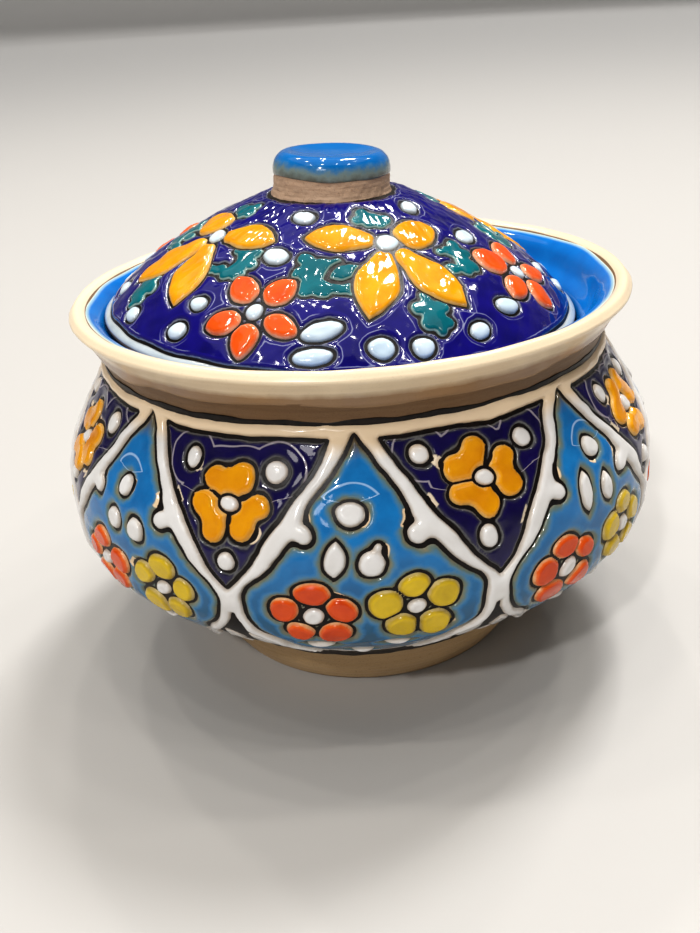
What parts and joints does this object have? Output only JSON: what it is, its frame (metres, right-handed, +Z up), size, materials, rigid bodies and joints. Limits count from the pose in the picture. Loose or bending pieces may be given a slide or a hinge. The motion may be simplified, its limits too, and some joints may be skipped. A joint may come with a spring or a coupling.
{
  "type": "lidded glazed earthenware pot",
  "caption": "Squat lidded pot of painted earthenware: a round-bellied bowl with a flared lip, and a domed lift-off lid with a round knob, for serving or storing.",
  "frame": {"origin": "centre of the foot ring, on the surface the pot stands on", "axes": "+Z up along the bowl's axis, -Y towards the front panel, +X to the right seen from the front"},
  "size_m": [0.1312, 0.1312, 0.1096],
  "materials": {
    "bare_clay": "bare fired earthenware, matt, with fine throwing lines",
    "clear_glaze_on_clay": "clear gloss glaze over pale clay",
    "bright_blue_glaze": "gloss cerulean glaze, pooled darker in hollows",
    "panel_blue_glaze": "gloss blue glaze, thin and tan at its edges",
    "navy_glaze": "gloss cobalt glaze, nearly black where thick",
    "black_outline": "low black-brown outline, semi-gloss",
    "white_slip_glaze": "thick gloss white enamel, cream where thin",
    "orange_glaze": "thick gloss orange enamel",
    "yellow_glaze": "thick gloss yellow enamel",
    "ochre_glaze": "thick gloss yellow-orange enamel",
    "teal_glaze": "gloss teal glaze"
  },
  "bodies": {
    "bowl": {"bowl_body": "bare_clay", "bowl_lining_glaze": "bright_blue_glaze", "bowl_rim_glaze": "clear_glaze_on_clay", "bowl_outline_wash": "black_outline", "bowl_blue_panels": "panel_blue_glaze", "bowl_navy_panels": "navy_glaze", "bowl_white_bands": "white_slip_glaze", "bowl_white_dots": "white_slip_glaze", "bowl_orange_flowers": "orange_glaze", "bowl_yellow_flowers": "yellow_glaze", "bowl_ochre_flowers": "ochre_glaze", "bowl_flower_centres": "white_slip_glaze", "bowl_foot_leaves": "white_slip_glaze"},
    "lid": {"lid_body": "bare_clay", "lid_lining_glaze": "bright_blue_glaze", "lid_outline_wash": "black_outline", "lid_cobalt_ground": "navy_glaze", "lid_edge_band": "white_slip_glaze", "lid_yellow_flowers": "ochre_glaze", "lid_orange_flowers": "orange_glaze", "lid_teal_leaves": "teal_glaze", "lid_white_dots": "white_slip_glaze", "lid_flower_centres": "white_slip_glaze", "knob": "bare_clay", "knob_glaze_cap": "bright_blue_glaze"}
  },
  "joints": [
    {"name": "lid_lift", "type": "slide", "parent": "bowl", "child": "lid", "axis": [0, 0, 1], "range_m": [0, 0.12]}
  ]
}
